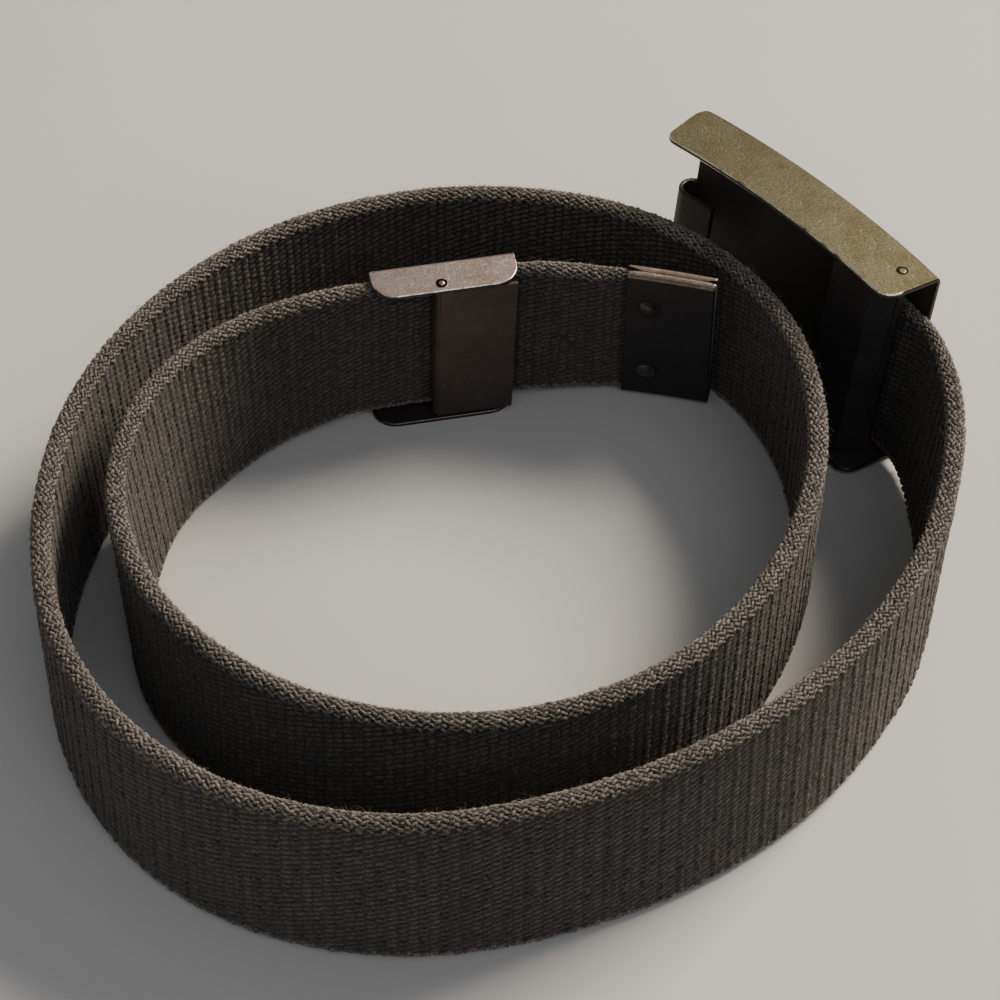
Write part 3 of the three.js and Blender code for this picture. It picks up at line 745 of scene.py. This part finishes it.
def turned_head(name, along, centre, axis, facing, profile, materials):
    """A small round head turned about an axis in a holder's frame, facing along it or, with facing -1,
    against it. The profile's rows are radius, height along the axis and material, from the foot to the
    crown. Each ring is a circle of its radius, and the foot and the crown are closed by fans."""
    origin, *ways = holder_frame(along)
    ways = np.array(ways)
    side = ways[(axis + 1) % 3]
    rise = np.cross(ways[axis], side)
    radius, height, taken = np.array(profile).T
    angle = 2 * math.pi * np.arange(HEAD_SIDES) / HEAD_SIDES
    ring = np.cos(angle)[:, None] * side + np.sin(angle)[:, None] * rise
    middle = origin + np.array(centre) @ ways
    rings = middle + radius[:, None, None] * ring + facing * height[:, None, None] * ways[axis]
    ends = middle + facing * np.array([height[0], height[-1]])[:, None] * ways[axis]
    places = np.concatenate([rings.reshape(-1, 3), ends]) * MM + SHIFT
    total, base = len(radius) * HEAD_SIDES, (len(radius) - 1) * HEAD_SIDES
    quads = ring_faces(len(radius), HEAD_SIDES)
    fans = end_fans(HEAD_SIDES, (0, total), (base, total + 1))
    if facing < 0:
        quads, fans = quads[:, ::-1], [fan[:, ::-1] for fan in fans]
    piece = new_piece(name, places, quads, fans, materials)
    faces = np.repeat([*taken[:-1], 0, taken[-1]], HEAD_SIDES)
    piece.data.polygons.foreach_set("material_index", faces.astype(np.int32))
    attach(piece, "belt")


def round_pin(along, pin, radius):
    """Says which places lie round a pin that goes up through a piece held at a length of the strap."""
    def near(places):
        run, out, _ = holder_local(along, places)
        return np.hypot(run - pin[0], out - pin[1]) < radius
    return near


# Pieces

def dress_strap():
    """The woven strap, with its yarns, its plaited edges and its loose fibres."""
    # The thread between the floats, sunk under them: nearly black, painted shade in the gaps, so that the
    # columns read as dark lines
    shaded_core = cotton("cotton_core_painted_gap_shade", "#0f0d0b", "#211d18", 0.2)
    # The floats of the faces: dull dark brown, the cloth's own colour, with pale specks of painted
    # highlight where fibres catch the light
    warp = cotton("cotton_warp", "#15120f", "#5e5448", 0.4)
    # The edges, where wear has raised the fibres: the same brown, worn to a pale dusty line, and paler
    # still with painted light where light falls on the rounded edges
    worn_and_lit = cotton("worn_and_lit_cotton_selvedge", "#1d1915", "#92877a", 0.4)
    # The hairs on the edges: pale, partly a painted highlight of the light they catch, so that they light
    # up against the dark cloth
    lit_fibres = cotton("loose_cotton_fibres_painted_highlight", "#4b4437", "#8f856f", 0.1)
    strap = make_core(shaded_core)
    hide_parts("webbing")
    pieces = [strap]
    for face, side in (("outer", 1), ("inner", -1)):
        pieces.append(make_face_floats(face + "_high_yarns", side, 0, HIGH_FLOAT, warp))
        pieces.append(make_face_floats(face + "_low_yarns", side, 1, LOW_FLOAT, warp))
    pieces.append(make_edge_floats("upper_selvedge", True, worn_and_lit))
    pieces.append(make_edge_floats("lower_selvedge", False, worn_and_lit))
    pieces.append(make_fuzz(lit_fibres))
    for piece in pieces:
        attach(piece, "belt")


def dress_buckle():
    """The buckle's plate, its lever, its hinge pin and the pin's turned head."""
    origin, _, across, _ = holder_frame(CLAMP_LENGTH)
    # The near, upper way, past which the edges carry a painted highlight
    near_and_high = (-across[0], -across[1], 1.0)
    near_edge = float(-(origin * MM + SHIFT) @ across) + BUCKLE_GLINT_FROM * MM
    # Old brass on the outside: a soft olive shine, clouded by its patina and faintly scratched
    patina = aged_metal("aged_brass_patina", "#6d6753", "#59523c", "#8d8466", 0.47, grain=(1, 0.35, 1),
                        turn=25, scratches=0.35, speckle=0.3)
    # The plate's inside: a flat dark face with hardly a gleam
    black = aged_metal("dark_brass_inside", "#3a3532", "#433d39", "#6a5e54", 0.6, scratches=0.2,
                       metallic=0.2)
    # Its edges: dark, with a painted highlight along the near side, as a broken bright line
    edge = aged_metal("brass_edge_painted_glint", "#4f4733", "#3f3828", "#fff3d2", 0.3, scratches=0.1,
                      painted_glint_in=[(near_and_high, near_edge)])

    def outside(middles):
        """Brass on the outer skin of the plate and flanges, black inside them."""
        run, out, up = holder_local(CLAMP_LENGTH, middles)
        centre = BUCKLE_CURVE - BUCKLE_OUTSIDE
        straight = np.hypot(run, out + centre) - centre
        near = SKIN_SHARE * BUCKLE_SHEET
        skin = ((straight > BUCKLE_OUTSIDE - near) | (up < BUCKLE_FLOOR + near)
                | (up > BUCKLE_FLOOR + BUCKLE_HEIGHT - near))
        return np.where(skin, 0, 1)

    bore = round_pin(CLAMP_LENGTH, BUCKLE_PIN, BUCKLE_BORE)
    metal_copy("buckle_body", "buckle_shell", "belt", [patina, black, edge], BUCKLE_WEAR,
               outside, bore)
    # The lever: dark steel, a little rougher than the plate behind it
    dark = aged_metal("dark_lever_steel", "#322e2c", "#3b3634", "#564e48", 0.62, scratches=0.2,
                      metallic=0.3)
    metal_copy("buckle_lever", "buckle_cam_lever", "buckle_lever", [dark], LEVER_WEAR,
               bores=bore)
    # The pin: brown steel, rubbed where the lever turns on it
    steel = aged_metal("rubbed_pin_steel", "#6b5a4c", "#4d4037", "#b9a690", 0.4)
    metal_copy("buckle_pin", "buckle_hinge_pin", "belt", [steel], PIN_WEAR)
    # The groove round the pin's head: a thin dark ring
    groove = aged_metal("dark_pin_groove", "#241a15", "#1b1411", "#4d3a2e", 0.6, scratches=0.1)
    turned_head("buckle_pin_head", CLAMP_LENGTH, (*BUCKLE_PIN, BUCKLE_FLOOR + BUCKLE_HEIGHT), UP, 1,
                BUCKLE_HEAD, [patina, groove])


def dress_slider():
    """The slider's plate, its lever, its hinge pin and the pin's bright head."""
    top = SLIDER_FLOOR + WEB_WIDTH + 2 * (EDGE_GAP + SLIDER_SHEET)
    # Bronze with a pinkish satin gleam, brushed across and scratched
    bronze = aged_metal("brushed_bronze", "#bdaba1", "#927f76", "#efe6dc", 0.42, grain=(0.3, 1, 1),
                        scratches=0.65, speckle=0.34)
    # Its inside: dark and dull, painted shade on the faces toward the strap, which lie in shadow
    dull = aged_metal("bronze_inside_painted_shade", "#2b2623", "#332d2a", "#5c5048", 0.55, scratches=0.2,
                      metallic=0.3)
    # Its edges: a painted highlight on the near upper side, a sharp light line
    edge = aged_metal("bronze_edge_painted_glint", "#6a5c54", "#54483f", "#fff6ea", 0.28, scratches=0.1,
                      painted_glint_in=[(SLIDER_NEAR_AND_HIGH, SLIDER_GLINT_FROM * MM)])
    # The lever: bronze under brown lacquer, half matt, with its scratches showing through
    brown = aged_metal("brown_lacquered_bronze", "#4f443d", "#433a34", "#75675b", 0.5, scratches=0.3,
                       metallic=0.5)

    def outside(middles):
        """Bronze on the outer skin, and the dark painted shade inside."""
        _, out, up = holder_local(SLIDER_AT, middles)
        near = SKIN_SHARE * SLIDER_SHEET
        skin = (out > SLIDER_OUTSIDE - near) | (up < SLIDER_FLOOR + near) | (up > top - near)
        return np.where(skin, 0, 1)

    bore = round_pin(SLIDER_AT, SLIDER_PIN, SLIDER_BORE)
    metal_copy("slider_body", "slider_shell", "belt", [bronze, dull, edge], SLIDER_WEAR,
               outside, bore)
    metal_copy("slider_lever", "slider_cam_lever", "slider_lever", [brown], LEVER_WEAR,
               bores=bore)
    # The pin: polished steel, whose domed head holds one bright spot
    steel = aged_metal("bright_pin_steel", "#c9beb2", "#a89a8c", "#f4ede4", 0.25)
    metal_copy("slider_pin", "slider_hinge_pin", "belt", [steel], PIN_WEAR)
    # The groove round it: a black ring, which sets the bright head off
    groove = aged_metal("dark_rivet_groove", "#1c1512", "#15100e", "#4d3a2e", 0.5, scratches=0.1)
    turned_head("slider_pin_head", SLIDER_AT, (*SLIDER_PIN, top), UP, 1, SLIDER_HEAD,
                [bronze, groove, steel])


def dress_tip():
    """The metal tip at the strap's free end, with two rivets on each face."""
    # The rolled top: warm copper brown, scratched along the seam
    copper = aged_metal("copper_brown_roll", "#ae9a89", "#7d6c5f", "#ead9c6", 0.42, grain=(0.16, 1, 1),
                        turn=-13, scratches=0.6, speckle=0.3)
    # The faces: nearly black, painted shade over the same sheet as the top, smooth and nearly even, with a
    # low sheen
    black = aged_metal("tip_sheet_painted_shade", "#232021", "#2b2727", "#453d38", 0.5, scratches=0.2,
                       metallic=0.4)
    # The rivets' crowns, polished by rubbing: each holds a small soft gleam
    crown = aged_metal("dark_rivet_crown", "#57514d", "#45403d", "#857b73", 0.3, metallic=0.9)
    # The pressed groove round each rivet: a black ring, painted shade in the groove
    groove = aged_metal("tip_groove_painted_shade", "#100f0f", "#151313", "#2b2725", 0.6, metallic=0.3)
    sleeve = make_sleeve([copper, black])
    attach(sleeve, "belt")
    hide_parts("tip")
    rivet_at = STRAP_LENGTH - TIP_LENGTH + RIVET_INSET
    for height, level in ((RIVET_DROP, "lower"), (WEB_WIDTH - RIVET_DROP, "upper")):
        for side, face in ((-1, "inner"), (1, "outer")):
            turned_head(f"{level}_{face}_rivet", rivet_at, (0, side * TIP_OUTSIDE, height), ACROSS, side,
                        RIVET_HEAD, [black, groove, crown])


def make_sleeve(materials):
    """The tip's sheet, folded round the strap, its two edges rolled in over the strap's upper edge,
    where it narrows, eased over a named height. At each ring the outer line runs from one lip over a
    roll, two quarter ovals that meet at its crown, down a face, round the fold below and up to the
    other lip, and the inner line follows it a sheet's thickness inside. The rolls are cut back near
    both ends, by an angle eased over a short run, so that the seam opens there."""
    start = STRAP_LENGTH - TIP_LENGTH
    along = np.linspace(start, STRAP_LENGTH, TIP_RINGS)[:, None]
    split = ease(1 - (along - start) / TIP_SPLIT_RUN)
    mouth = ease(1 - (STRAP_LENGTH - along) / TIP_MOUTH_RUN)
    cut = TIP_SEAM_CUT + TIP_SPLIT_CUT * split + TIP_MOUTH_CUT * mouth
    share = np.linspace(0, 1, TIP_ROLL_PLACES)[None]
    angle = math.pi * (1 - cut) * (1 - share)
    high = WEB_WIDTH + SHEET_GAP + TIP_SHEET
    fold = np.linspace(0, math.pi, TIP_FOLD_PLACES)[None]
    heights = np.linspace(high - TIP_SHOULDER, TIP_FLOOR + TIP_OUTSIDE, TIP_FACE_PLACES + 2)[None, 1:-1]
    face = heights + 0 * along

    def line(inset):
        """The sheet's line at this depth under its outer skin, as (out, up)."""
        toward_seam = np.cos(angle) < 0
        reach = np.where(toward_seam, TIP_ROLL_CROWN - inset / 2, TIP_HALF_TOP - TIP_ROLL_CROWN - inset)
        drop = np.where(toward_seam, TIP_VALLEY - inset / 2, TIP_SHOULDER - inset)
        top_out = TIP_ROLL_CROWN + reach * np.cos(angle)
        top_up = high - inset - drop * (1 - np.sin(angle))
        low_out = (TIP_OUTSIDE - inset) * np.cos(fold) + 0 * along
        low_up = TIP_FLOOR + TIP_OUTSIDE - (TIP_OUTSIDE - inset) * np.sin(fold) + 0 * along
        narrowed = (TIP_OUTSIDE - TIP_HALF_TOP) * ease((face - high + TIP_NARROWED) / TIP_NARROWED)
        side = TIP_OUTSIDE - narrowed - inset
        out = np.concatenate([top_out, side, low_out, -side, -top_out[:, ::-1]], 1)
        up = np.concatenate([top_up, face, low_up, face[:, ::-1], top_up[:, ::-1]], 1)
        return out, up

    outer_out, outer_up = line(0)
    inner_out, inner_up = line(TIP_SHEET)
    out = np.concatenate([outer_out, inner_out[:, ::-1]], 1)
    up = np.concatenate([outer_up, inner_up[:, ::-1]], 1)
    places = on_strap(along + 0 * out, out, up, SHIFT)
    rings, count = out.shape
    step = np.arange(count // 2 - 1)
    cap = np.stack([step, step + 1, count - 2 - step, count - 1 - step], -1)
    base = (rings - 1) * count
    quads = np.concatenate([ring_faces(rings, count)[:, ::-1], cap, cap[:, ::-1] + base])
    piece = new_piece("tip_sleeve", places.reshape(-1, 3), quads, [NO_TRIANGLES], materials)
    middle = up.reshape(-1)[quads].mean(1)
    # The faces take the dark sheet, painted shade; the rolled top and the fold below keep the copper brown
    rolled = (middle > high - TIP_SHOULDER) | (middle < 0)
    piece.data.polygons.foreach_set("material_index", np.where(rolled, 0, 1).astype(np.int32))
    return piece


# Stage

def make_stage():
    """A plain pale floor."""
    # Painted board: matt and pale, with faint broad clouds, so that the shadows read
    floor_material, tree, shader = new_material("pale_floor", Roughness=0.6, Specular_IOR_Level=0.3)
    place = add(tree, "TexCoord").outputs["Object"]
    cloud = add(tree, "TexNoise", {"Vector": place, "Scale": FLOOR_CLOUDS, "Detail": 4.0})
    tint = add(tree, "Mix", {FACTOR: cloud.outputs[0], FIRST: colour("#c4c1bc"), SECOND: colour("#cfccc8")},
               data_type="RGBA").outputs[MIXED]
    tree.links.new(tint, shader.inputs["Base Color"])
    corners = FLOOR_HALF * np.array([(-1, -1, 0), (1, -1, 0), (1, 1, 0), (-1, 1, 0)])
    floor = new_piece("floor", corners, np.array([[0, 1, 2, 3]]), [NO_TRIANGLES], [floor_material])


def make_light(name, place, size, power, tint):
    """A soft square light, aimed at the belt's foot."""
    light = bpy.data.lights.new(name, "AREA")
    light.shape = "SQUARE"
    light.size = size
    light.energy = power
    light.color = colour(tint)[:3]
    lamp = bpy.data.objects.new(name, light)
    bpy.context.scene.collection.objects.link(lamp)
    lamp.location = place
    lamp.rotation_euler = (-Vector(place)).to_track_quat("-Z", "Y").to_euler()


def make_lights():
    """A warm key light from behind on the right, a cool fill from the front, and a pale sky."""
    make_light("key", *KEY_LIGHT)
    make_light("front_fill", *FRONT_FILL)
    world = bpy.data.worlds.new("soft_studio")
    world.use_nodes = True
    background = world.node_tree.nodes["Background"]
    background.inputs["Color"].default_value = colour(SKY_TINT)
    background.inputs["Strength"].default_value = SKY_STRENGTH
    bpy.context.scene.world = world


def make_camera():
    """The camera, turned down by its tilt and rolled about its own line of sight."""
    camera = bpy.data.cameras.new("camera")
    camera.lens = CAMERA_LENS
    camera.sensor_width = CAMERA_SENSOR
    camera.clip_start = CAMERA_NEAR * MM
    holder = bpy.data.objects.new("camera", camera)
    bpy.context.scene.collection.objects.link(holder)
    holder.matrix_world = (
        Matrix.Translation([value * MM for value in CAMERA_PLACE])
        @ Matrix.Rotation(math.radians(90 - CAMERA_TILT), 4, "X")
        @ Matrix.Rotation(math.radians(CAMERA_ROLL), 4, "Z")
    )
    bpy.context.scene.camera = holder


make_camera()
make_stage()
make_lights()
dress_strap()
dress_buckle()
dress_slider()
dress_tip()
